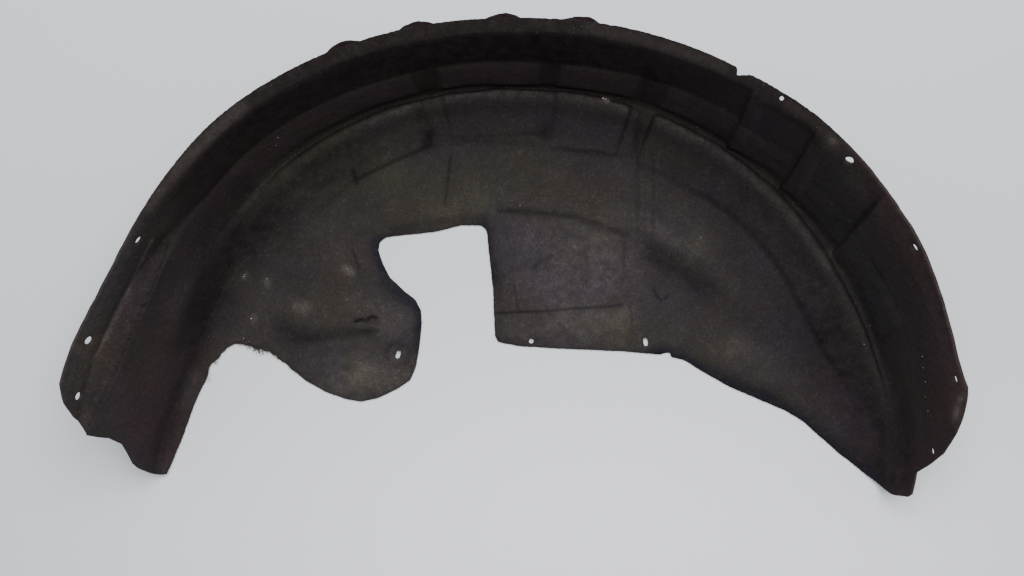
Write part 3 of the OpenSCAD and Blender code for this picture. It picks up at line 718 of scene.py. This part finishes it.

# Liner, its soiling and painted light. Dust lies on the disc, reddish road dirt on the legs and black grime
# under the lip, with painted shade there and in the gutter, channels, hollows, folds and creases; what stands
# out is paler, partly rubbed and partly painted highlight. What follows the section is set by its rings.
# Half width in pixels, strength in percent, then the line as pairs in the picture's pixels
soil = {
    "olive": [
        (30, 60, 300, 190, 360, 170, 430, 190, 470, 200), (6, 70, 268, 184, 310, 158),
        (22, 50, 330, 215, 345, 225), (22, 35, 500, 185, 560, 190, 620, 205), (14, 70, 560, 318, 620, 322),
        (14, 50, 700, 235, 690, 262), (16, 40, 730, 345, 770, 365), (26, 45, 310, 300, 340, 290),
        (14, 50, 390, 385, 360, 375), (14, 25, 230, 150, 300, 120, 380, 92), (16, 35, 560, 258, 600, 250),
        (16, 25, 850, 160, 860, 200), (12, 45, 120, 330, 80, 380), (24, 30, 280, 240, 330, 250),
        (10, 20, 440, 108, 560, 104, 630, 118)],
    "violet": [
        (34, 50, 520, 250, 560, 300, 640, 270), (24, 30, 690, 160, 760, 230, 820, 310),
        (34, 35, 740, 300, 800, 340, 850, 420), (14, 30, 470, 108, 560, 118, 620, 126),
        (16, 40, 120, 395, 128, 440), (22, 30, 200, 240, 180, 300), (24, 30, 840, 400, 880, 450),
        (24, 30, 340, 230, 300, 270)],
    "rust": [
        (26, 70, 905, 215, 940, 290, 955, 360, 945, 430, 905, 480), (12, 60, 800, 110, 860, 160, 900, 220),
        (36, 60, 140, 400, 170, 440), (26, 50, 190, 330, 150, 420), (12, 45, 150, 270, 110, 360),
        (14, 30, 560, 190, 590, 182, 612, 186), (14, 30, 150, 340, 170, 300), (14, 20, 330, 300, 345, 268),
        (16, 30, 832, 380, 872, 455), (14, 15, 480, 105, 440, 125), (12, 30, 160, 200, 250, 110, 330, 65)],
    # Paler places: dust, wear and grit, and painted highlights along the bead, the crease of the left leg and
    # the edges of the laps' steps
    "pale": [
        (12, 10, 560, 320, 625, 318), (10, 6, 505, 330, 560, 335, 640, 340), (30, 10, 560, 285, 600, 275),
        (26, 8, 540, 240, 600, 235), (9, 14, 390, 325, 405, 318), (9, 10, 655, 230, 672, 240),
        (13, 6, 690, 250, 712, 268, 735, 290), (11, 6, 735, 345, 760, 352), (2.5, 30, 244, 277, 247, 275),
        (3, 25, 267, 280, 268, 284), (6, 20, 298, 305, 306, 308), (3.5, 30, 345, 268, 352, 272),
        (2, 45, 253, 318, 254, 320), (20, 16, 340, 380, 395, 372), (8, 5, 360, 300, 385, 310),
        (2.2, 90, 604, 99, 609, 101), (3, 15, 831, 140, 835, 143),
        (6, 5, 590, 28, 640, 39, 690, 54, 726, 68),
        (1.7, 13, 152, 240, 140, 264, 123, 303, 104, 340, 92, 362), (7, 3, 128, 243, 96, 318, 84, 350),
        (15, 5, 118, 388, 106, 425), (8, 6, 150, 235, 172, 207), (8, 7, 828, 146, 858, 182, 880, 222),
        (7, 4, 840, 256, 852, 282), (7, 6, 886, 288, 898, 316),
        (9, 2.5, 170, 222, 230, 152, 300, 106, 390, 74), (10, 2, 655, 88, 735, 120),
        (5, 6, 788, 106, 812, 122, 835, 141), (8, 4, 826, 256, 862, 232), (10, 3, 868, 428, 892, 466),
        (9, 2.5, 926, 300, 948, 370), (3.5, 35, 955, 418, 961, 398), (9, 6, 183, 285, 170, 310),
        (6, 8, 185, 405, 195, 375), (3, 12, 842, 238, 830, 256), (3, 10, 745, 140, 758, 112),
        (3, 10, 802, 187, 816, 162), (4, 8, 666, 122, 715, 146, 790, 214, 830, 270),
        (8, 10, 240, 108, 180, 165, 150, 205)],
    # Darker places: dirt, and painted shade in folds, valleys, channels, laps and dents, along cut edges,
    # over the left leg and over the right of the disc
    "dark": [
        (15, 42, 236, 240, 212, 275, 184, 340), (13, 35, 205, 345, 165, 450), (18, 30, 240, 200, 200, 240),
        (5, 60, 873, 204, 866, 212), (8, 60, 553, 58, 554, 66), (3, 60, 648, 68, 644, 95),
        (9, 40, 427, 62, 429, 90), (7, 60, 429, 134, 429, 143), (4, 50, 416, 108, 421, 118),
        (3, 50, 354, 172, 357, 182), (4, 40, 640, 112, 635, 150), (6, 45, 546, 128, 546, 135),
        (13, 50, 656, 252, 676, 268, 705, 288), (10, 30, 652, 258, 668, 268),
        (4.5, 42, 293, 337, 303, 341, 340, 336, 372, 331), (12, 32, 284, 326, 300, 333),
        (30, 30, 690, 180, 790, 250, 840, 330), (46, 50, 730, 280, 800, 330, 870, 430, 890, 470),
        (22, 40, 830, 330, 870, 400, 900, 470), (30, 12, 890, 300, 905, 360, 905, 440),
        (10, 20, 700, 75, 740, 90), (10, 30, 738, 82, 800, 118, 850, 165, 885, 215),
        (26, 25, 400, 190, 480, 175, 600, 200), (22, 35, 320, 178, 360, 158), (26, 30, 275, 240, 310, 275),
        (12, 30, 745, 190, 795, 240, 835, 295), (13, 50, 690, 368, 765, 405, 830, 450, 882, 482),
        (9, 46, 160, 243, 139, 294, 119, 338, 104, 370, 92, 402), (8, 30, 262, 190, 275, 178),
        (5, 35, 395, 230, 440, 222, 486, 217), (4, 30, 497, 260, 500, 300),
        (4, 20, 205, 378, 245, 344, 270, 352), (14, 30, 735, 385, 800, 420),
        (5, 35, 510, 212, 575, 217, 626, 235), (14, 25, 210, 250, 190, 300), (20, 15, 250, 235, 300, 200),
        (30, 10, 330, 300, 290, 320), (40, 28, 290, 210, 360, 225), (24, 30, 262, 230, 225, 310),
        (10, 45, 248, 192, 236, 212, 228, 230), (14, 25, 276, 205, 256, 240, 248, 270),
        (8, 25, 255, 198, 290, 172, 345, 144), (8, 30, 756, 394, 768, 402),
        (6, 30, 384, 285, 399, 296, 416, 303), (12, 28, 230, 298, 222, 330),
        (8, 30, 762, 394, 800, 420, 845, 455)]}


def between(low, high, soft, rows):
    return swell(low - soft, low + soft, rows)*swell(high + soft, high - soft, rows)


def streak(seen, half, line):
    """How near points lie to a line in the picture, from 0 to 1."""
    return np.exp(-(from_line(seen, line)[0]/half)**2)


# Where the cut edge is bent down into shade: half width in pixels, strength, then the line
bent_edges = [(12, 1, 377, 243, 383, 285, 418, 311, 419, 345), (9, 0.8, 486, 222, 492, 280),
              (14, 1.1, 660, 352, 760, 400, 870, 480)]
# The print that a washer left around the hole in the tongue, in pixels
washer_at, washer_radius = (398, 354), 11


def soiled(turns, rows, facts):
    """How much of each kind of dirt, wear, painted shade and painted highlight a point has."""
    _, _, seen, rim, low = facts
    rings = ring_rows
    amount = {kind: 1 - np.prod([1 - percent/100*streak(seen, half, line)
                                 for half, percent, *line in entries], axis=0)
              for kind, entries in soil.items()}
    lip = swell(rings[3] + 3, rings[3] - 3, rows)*np.clip(along(turns, flat_share)*1.6, 0, 1)
    top = swell(52, 72, turns)*swell(158, 138, turns)
    # Black road grime and painted shade on the wall under the lip, strongest over the top of the arch
    under_lip = between(rings[3] - 1, rings[5] + 4, 5, rows)*(0.35 + 0.65*top)
    under_lip *= mix(0.78, 1.0, swell(60, 85, turns))*mix(1.0, 0.7, swell(128, 146, turns))
    panels = between(rings[6], rings[8] + 2, 4, rows)*swell(40, 60, turns)*swell(158, 138, turns)
    amount["violet"] = np.maximum(amount["violet"], 0.2*panels*(1 - channel(turns, 0)))
    amount["rust"] = np.maximum(amount["rust"], 0.45*panels*(1 - channel(turns, 0)))
    # Painted shade in the channels between the panels
    sunk = channel(turns, 0)*between(rings[5] - 6, rings[8] + 4, 5, rows)
    # Painted shade over the left wall
    left_wall_shade = between(rings[6] - 2, rings[16], 8, rows)*swell(128, 150, turns)
    # Painted shade in the gutter at the wall's foot
    gutter_shade = between(rings[8] - 1, rings[10], 2.5, rows)*swell(22, 50, turns)*swell(150, 128, turns)
    # Painted light on the bead's steep outer slope, lightening the shade that falls on it
    painted_slope_light = between(rings[10] + 1, rings[12] + 1, 2, rows)*swell(22, 60, turns)*swell(150, 128, turns)
    band = between(rings[14] + 4, rings[17], 6, rows)*mix(0.22, 0.27, swell(60, 80, turns))
    # Painted shade just inside the bead's crest
    behind_bead_shade = np.exp(-((rows - rings[13] - 17)/9)**2)*swell(45, 65, turns)*swell(152, 138, turns)
    crossing = channel(turns, 1)
    # Painted highlight along the bead's crest, fading out towards the legs
    crest = np.exp(-((rows - rings[13] + 1)/7.5)**2)*(1 - crossing)
    crest *= (swell(-4, 30, turns)*0.6 + 0.4)*swell(140, 131, turns)
    # Painted shade along the valley between the band and the disc on the right
    valley_shade = np.exp(-((rows - rings[18])/6)**2)*swell(6, 22, turns)*swell(62, 56, turns)
    # Road grime and painted shade under the lip, and painted shade in the channels and the gutter
    amount["grime_and_shade"] = np.clip(0.88*under_lip + 0.45*sunk + mix(0.1, 0.26, swell(50, 78, turns))*gutter_shade, 0, 1)
    amount["lip"] = lip*mix(1.0, 0.88, swell(112, 135, turns))
    crest *= 0.2 + 0.8*swell(58, 75, turns)*swell(125, 106, turns)
    # Pale rubbed wear, and painted highlights on the crest, the slope and along the pale lines
    amount["rub"] = np.clip(0.02*lip + 0.24*crest + 0.12*painted_slope_light + 0.03*panels + amount.pop("pale"), 0, 1)
    # Dark lines along the marks: packed dirt, and painted shade in creases and at the laps' steps
    lines = [dark/100*streak(seen, half, line) for half, deep, dark, *line in marks]
    amount["crease_dirt_and_shade"] = np.max(lines, axis=0)
    # Painted shade in the hollows
    hollow_shade = []
    for half, deep, dark, *line in hollows:
        gap, wide = from_line(seen, line, half)
        hollow_shade.append(dark/100*np.exp(-(gap/wide)**2))
    hollow_shade = np.max(hollow_shade, axis=0)
    from_hole = np.hypot(*(seen - washer_at).T)
    washer = np.exp(-((from_hole - washer_radius)/2.5)**2)
    # The dark layer also takes painted shade in the hollows, along the valley, over the left wall and just
    # inside the bead, a darker band inside the bead, and the washer's print
    amount["dark"] = 1 - (1 - amount["dark"])*(1 - 0.5*hollow_shade)*(1 - 0.45*valley_shade)*(1 - 0.3*left_wall_shade)
    amount["dark"] = 1 - (1 - amount["dark"])*(1 - band)*(1 - 0.3*behind_bead_shade)*(1 - 0.6*washer)
    bent = sum(strength*streak(seen, half, line) for half, strength, *line in bent_edges)
    margin = np.exp(-(np.maximum(rim, 0)/(6 + 6*bent))**2)*low*swell(164, 150, turns)
    amount["margin"] = margin*np.clip(0.22 + 0.75*bent, 0, 1)
    return amount


def paint(mesh, kind, values):
    """Writes how much of one kind of dirt, wear, painted shade or painted highlight each point has, for its
    material to read.
    """
    mesh.attributes.new(kind, "FLOAT", "POINT").data.foreach_set("value", values)


for kind, amount in soiled(front_turns, front_rows, front_facts).items():
    paint(liner_mesh, kind, np.concatenate([amount] + [amount[:rims]*0.5]*3 + [np.zeros(len(back))]))
areas = (len(front), 3*rims, len(back))
paint(liner_mesh, "cut", np.repeat([0.0, 1.0, 0.0], areas))
paint(liner_mesh, "behind", np.repeat([0.0, 0.0, 1.0], areas))

# Liner, its felt. Needled polyester fibres pressed hot into a dense sheet: matt, faintly hairy and grainy,
# with broad clouds of dust and damp in it. Fibres are drawn a few times too coarse, so that they show,
# and all of it is drawn out along the height, since the walls are seen almost from above.
felt, tree = new_material("pressed_needled_felt")
place = add(tree, "ShaderNodeTexCoord").outputs["Object"]
place = add(tree, "ShaderNodeMapping", Vector=place, Scale=(1, 1, 0.4)).outputs[0]
clouds, stains, blotches, grain = [
    add(tree, "ShaderNodeTexNoise", Vector=place, Scale=1000/size_mm, Detail=detail,
        Roughness=rough).outputs[0]
    for size_mm, detail, rough in ((90, 3, 0.55), (34, 4, 0.6), (11, 3, 0.6), (2.4, 3, 0.75))]
cloudy, broken, patchy, pale_breakup, by_stain, by_blotch, by_grain = [
    add(tree, "ShaderNodeMapRange", i0=value, i1=low, i2=high, i3=out_low, i4=out_high).outputs[0]
    for value, low, high, out_low, out_high in (
        (clouds, 0.38, 0.62, 0, 1), (stains, 0.35, 0.65, 0.55, 1.2), (blotches, 0.35, 0.65, 0.7, 1.15),
        (blotches, 0.36, 0.66, 0.5, 1.1), (stains, 0.3, 0.7, 0.91, 1.09),
        (blotches, 0.3, 0.7, 0.92, 1.08), (grain, 0.3, 0.7, 0.8, 1.21))]
colour = add(tree, "ShaderNodeMix", {"data_type": "RGBA"}, i0=cloudy, i6=linear("#2f2c2e"),
             i7=linear("#332f2b")).outputs[2]
# Of these tints, the blackish ones under the lip, in creases and hollows and along bent edges paint shade as
# well as dirt, and the pale rub tint paints highlights as well as wear
layers = (("olive", "#3a382f", broken), ("violet", "#332c37", broken), ("rust", "#372729", broken),
          ("grime_and_shade", "#170b0e", patchy), ("lip", "#141010", patchy), ("dark", "#151113", patchy),
          ("crease_dirt_and_shade", "#0b0a0a", patchy), ("margin", "#1c1a22", patchy), ("rub", "#736a65", pale_breakup),
          ("cut", "#38332f", 0.35), ("behind", "#2c2a2b", 0.75))
for kind, tint, breaks in layers:
    level = add(tree, "ShaderNodeAttribute", {"attribute_name": kind}).outputs["Fac"]
    share = add(tree, "ShaderNodeMath", {"operation": "MULTIPLY", "use_clamp": True}, i0=level, i1=breaks)
    colour = add(tree, "ShaderNodeMix", {"data_type": "RGBA"}, i0=share.outputs[0], i6=colour,
                 i7=linear(tint)).outputs[2]
bright = 1.0
for factor in (by_stain, by_blotch, by_grain):
    bright = add(tree, "ShaderNodeMath", {"operation": "MULTIPLY"}, i0=bright, i1=factor).outputs[0]
for size_mm, turn in ((1.6, 0.3), (1.9, 1.4), (1.7, 2.5)):
    drawn = add(tree, "ShaderNodeMapping", {"vector_type": "TEXTURE"}, Vector=place, Scale=(1, 6, 1),
                Rotation=(0, 0, turn))
    fibres = add(tree, "ShaderNodeTexNoise", Vector=drawn.outputs[0], Scale=1000/size_mm, Detail=1.0)
    lit = add(tree, "ShaderNodeMapRange", i0=fibres.outputs[0], i1=0.58, i2=0.72, i3=1.0, i4=1.25)
    bright = add(tree, "ShaderNodeMath", {"operation": "MULTIPLY"}, i0=bright, i1=lit.outputs[0]).outputs[0]
grey = add(tree, "ShaderNodeCombineColor", Red=bright, Green=bright, Blue=bright).outputs[0]
colour = add(tree, "ShaderNodeMix", {"data_type": "RGBA", "blend_type": "MULTIPLY"}, i0=1.0, i6=colour,
             i7=grey).outputs[2]
# The fibres are recycled ones of many colours, which gives a faint speckle of green, brown and violet
speckle = add(tree, "ShaderNodeTexNoise", Vector=place, Scale=1000/5.0, Detail=3.0, Roughness=0.7)
colour = add(tree, "ShaderNodeMix", {"data_type": "RGBA", "blend_type": "OVERLAY"}, i0=0.24, i6=colour,
             i7=speckle.outputs["Color"]).outputs[2]
# Pale grit caught in the surface, a grain here and there
grit = add(tree, "ShaderNodeTexVoronoi", Vector=place, Scale=1000/6.0)
small = add(tree, "ShaderNodeMath", {"operation": "LESS_THAN"}, i0=grit.outputs["Distance"], i1=0.10)
chosen = add(tree, "ShaderNodeMath", {"operation": "GREATER_THAN"}, i0=grit.outputs["Color"], i1=0.66)
share = add(tree, "ShaderNodeMath", {"operation": "MULTIPLY"}, i0=small.outputs[0], i1=chosen.outputs[0])
share = add(tree, "ShaderNodeMath", {"operation": "MULTIPLY"}, i0=share.outputs[0], i1=0.22)
colour = add(tree, "ShaderNodeMix", {"data_type": "RGBA"}, i0=share.outputs[0], i6=colour,
             i7=linear("#7d766f")).outputs[2]
height = add(tree, "ShaderNodeMath", {"operation": "MULTIPLY_ADD"}, i0=blotches, i1=0.8, i2=grain).outputs[0]
relief = add(tree, "ShaderNodeBump", Strength=0.55, Distance=0.0009, Height=height).outputs[0]
surface = add(tree, "ShaderNodeBsdfPrincipled", Base_Color=colour, Roughness=0.95, Normal=relief,
              Specular_IOR_Level=0.11)
add(tree, "ShaderNodeOutputMaterial", Surface=surface.outputs[0])
liner_mesh.materials.append(felt)

# Pads behind the lip. Four folds of the same felt stand out behind the lip at the top of the arch,
# pressed together with the liner, so that only their dark humps show past its edge.
pad_turns, pad_length, pad_reach, pad_height, pad_drop = (112.1, 102.8, 91.9, 82.2), 44, 8.6, 26, 14
pad_steps, pad_grime = 33, 0.85


def tube_faces(first, rings, around):
    """Faces of the side of a tube, whose points follow each other ring by ring."""
    return [(low + i, low + (i + 1) % around, low + around + (i + 1) % around, low + around + i)
            for low in range(first, first + (rings - 1)*around, around) for i in range(around)]


for number, pad_turn in enumerate(pad_turns):
    edge_r = edge_radius(pad_turn)
    low_z, high_z = depth - pad_drop - pad_height, depth - pad_drop
    wall_r, wall_z = section(np.array([float(pad_turn)]))
    root = float(np.interp(-high_z, -wall_z[2:6, 0], wall_r[2:6, 0])) + 1
    top_at = chance.uniform(-0.18, 0.18)
    across = np.linspace(-0.5, 0.5, pad_steps)
    lean = np.where(across < top_at, (across + 0.5)/(top_at + 0.5), (0.5 - across)/(0.5 - top_at))
    hump = swell(0, 1, lean)**0.5
    hump = np.clip(hump + 0.05*soften(chance.normal(size=(pad_steps, 1)), 1)[:, 0]*hump, 0, 1)
    reach = mix(edge_r + 1, edge_r + pad_reach, hump)
    rim_line = [(root, across[0]*pad_length)] + list(zip(reach, across*pad_length))
    rim_line.append((root, across[-1]*pad_length))
    c, s = heading(pad_turn)
    # How far the pad's rounded ends draw in, and at what height
    levels = ((2.0, low_z), (0.6, low_z + 0.8), (0, low_z + 2.5), (0, high_z - 3), (0.7, high_z - 1),
              (2.2, high_z))
    pad_points = []
    for inset, z in levels:
        for u, v in rim_line:
            u -= inset*(u > root)
            v *= 1 - 2*inset/pad_length
            pad_points.append(((u*c - v*s + axle[0])/1000, (u*s + v*c + axle[1])/1000, z/1000))
    count = len(rim_line)
    pad_faces = tube_faces(0, len(levels), count)
    pad_faces += [tuple(range(count - 1, -1, -1)), tuple(range(len(pad_points) - count, len(pad_points)))]
    pad = new_object("lip_pad_%d" % number, pad_points, pad_faces, felt)
    pad.data.polygons.foreach_set("use_smooth", [True]*(len(pad_faces) - 2) + [False]*2)
    paint(pad.data, "grime_and_shade", [pad_grime]*len(pad_points))
    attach(pad, "root")
    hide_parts("liner")

# Stray fibres. Cutting and tearing needled felt leaves loose ends of polyester fibre along every edge,
# few and short on the die-cut ones, long and thick where it was torn. Drawn several times too thick.
hair_points, hair_faces = [], []


def add_hair(place, direction, length, width):
    """A thin tapered fibre of three sides that bends a little on its way."""
    bend = chance.normal(size=3)*0.5
    side = np.cross(direction, chance.normal(size=3))
    side /= np.linalg.norm(side)
    third = np.cross(direction, side)
    first = len(hair_points)
    for part, thick in ((0, 1), (0.5, 0.8), (1, 0.35)):
        middle = place + direction*length*part + bend*length*part*part*0.5
        middle[2] = max(middle[2], 0.5)
        for a in (0, 2.094, 4.189):
            hair_points.append((middle + (side*math.cos(a) + third*math.sin(a))*thick*width/2)/1000)
    hair_faces.extend(tube_faces(first, 3, 3) + [(first + 6, first + 7, first + 8)])


middles = (front[:rims] + back[:rims])/2
seen_rims = np.stack(in_picture(*middles.T), axis=-1)
x, y = plan_from(middles.T)
torn_here = np.clip(1.4 - np.hypot(x - torn_middle[0], y - torn_middle[1])/torn_half, 0, 1)
torn_here *= middles[:, 2] < 60
for k in range(rims):
    hairs = chance.poisson(mix(0.35, 7.0, torn_here[k]))
    for hair in range(hairs):
        share = chance.uniform(0.05, 0.95)
        start = mix(front[k], back[k], share) + edge_out[k]*0.2 + chance.normal(size=3)*0.4*torn_here[k]
        direction = edge_out[k] + chance.normal(size=3)*0.7
        direction /= np.linalg.norm(direction)
        longest = mix(2.2, 4.5, torn_here[k])
        add_hair(start, direction, chance.uniform(0.3, 1)*longest, mix(0.16, 0.3, torn_here[k]))
# Frayed places, in the picture's pixels, and how many fibres hang out of each
frays = ((258, 348, 70), (264, 352, 60), (247, 344, 25), (206, 378, 25), (216, 364, 20))
for px, py, count in frays:
    near = np.argmin(np.hypot(seen_rims[:, 0] - px, seen_rims[:, 1] - py))
    for hair in range(count):
        start = middles[near] + chance.normal(size=3)*(2.5, 2.5, 0.8)
        direction = edge_out[near] + chance.normal(size=3)*0.8
        direction /= np.linalg.norm(direction)
        add_hair(start, direction, chance.uniform(1.5, 5.5), 0.32)
# Drawn polyester: a little smoother than the felt, grey with dirt and pale where a tuft is clean
fibre, tree = new_material("loose_polyester_fibres")
place = add(tree, "ShaderNodeTexCoord").outputs["Object"]
tufts = add(tree, "ShaderNodeTexNoise", Vector=place, Scale=1000/5, Detail=2.0).outputs[0]
share = add(tree, "ShaderNodeMapRange", i0=tufts, i1=0.38, i2=0.62).outputs[0]
colour = add(tree, "ShaderNodeMix", {"data_type": "RGBA"}, i0=share, i6=linear("#3b3734"),
             i7=linear("#8b847d")).outputs[2]
surface = add(tree, "ShaderNodeBsdfPrincipled", Base_Color=colour, Roughness=0.8, Specular_IOR_Level=0.2)
add(tree, "ShaderNodeOutputMaterial", Surface=surface.outputs[0])
edge_fibres = new_object("edge_fibres", [tuple(p) for p in hair_points], hair_faces, fibre)
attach(edge_fibres, "root")
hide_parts("liner")

# Grit. Grains of sand and chips of road paint stick to the felt, where the photo shows pale specks, and
# finer ones lie in the gutter. Each is a rough little stone, half sunk in the fibres.
# Place in the picture's pixels and size in mm
specks = [(277, 138, 1.3), (275, 146, 1.1), (269, 149, 0.8), (272, 156, 0.7), (603, 99.5, 2.0),
          (605.5, 100.3, 2.4), (608, 101.3, 1.8), (871, 325, 1.1), (864, 343, 1.2), (923, 357, 0.9),
          (924, 368, 0.8), (926, 382, 0.9), (926, 396, 0.8), (927, 410, 0.9), (244, 277, 1.0),
          (246, 275, 0.8), (267, 280, 1.0), (253, 318, 1.0), (243, 340, 0.9), (250, 343, 0.8),
          (346, 269, 0.9), (520, 205, 0.7), (610, 188, 0.8), (700, 236, 0.8)]
seen = front_facts[2]
grains = []
for px, py, size in specks:
    near = np.argmin(np.hypot(seen[:, 0] - px, seen[:, 1] - py))
    grains.append((front[near], front_facts[1][:, near], size, 1.0))
in_gutter = (abs(front_rows - ring_rows[10]) < 7) & (front_turns > 20) & (front_turns < 150)
on_disc = front_rows > ring_rows[14]
for where, count, largest in ((in_gutter, 90, 0.9), (on_disc, 70, 0.6)):
    for near in chance.choice(np.flatnonzero(where), count, replace=False):
        size = chance.uniform(0.4, 1)*largest
        grains.append((front[near], front_facts[1][:, near], size, chance.uniform(0, 0.45)))
t = (1 + math.sqrt(5))/2
stone = np.array([(-1, t, 0), (1, t, 0), (-1, -t, 0), (1, -t, 0), (0, -1, t), (0, 1, t), (0, -1, -t),
                  (0, 1, -t), (t, 0, -1), (t, 0, 1), (-t, 0, -1), (-t, 0, 1)])/math.hypot(1, t)
stone_faces = [(0, 11, 5), (0, 5, 1), (0, 1, 7), (0, 7, 10), (0, 10, 11), (1, 5, 9), (5, 11, 4),
               (11, 10, 2), (10, 7, 6), (7, 1, 8), (3, 9, 4), (3, 4, 2), (3, 2, 6), (3, 6, 8), (3, 8, 9),
               (4, 9, 5), (2, 4, 11), (6, 2, 10), (8, 6, 7), (9, 8, 1)]
grain_points, grain_faces, grain_pale = [], [], []
for place, normal, size, pale in grains:
    shape = stone*chance.uniform(0.7, 1.25, size=(12, 1))*chance.uniform(0.6, 1.1, size=3)*size/2
    first = len(grain_points)
    grain_points += [tuple(p) for p in (place + normal*size*0.15 + shape)/1000]
    grain_faces += [tuple(first + i for i in f) for f in stone_faces]
    grain_pale += [pale]*12
# Worn quartz and chalked paint: dull, brown as dust or nearly white
mineral, tree = new_material("chalky_sand_and_paint_chips")
pale = add(tree, "ShaderNodeAttribute", {"attribute_name": "pale"}).outputs["Fac"]
colour = add(tree, "ShaderNodeMix", {"data_type": "RGBA"}, i0=pale, i6=linear("#6a6057"),
             i7=linear("#dcd8d0")).outputs[2]
surface = add(tree, "ShaderNodeBsdfPrincipled", Base_Color=colour, Roughness=0.75)
add(tree, "ShaderNodeOutputMaterial", Surface=surface.outputs[0])
grit_grains = new_object("grit", grain_points, grain_faces, mineral)
paint(grit_grains.data, "pale", grain_pale)
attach(grit_grains, "root")
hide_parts("liner")
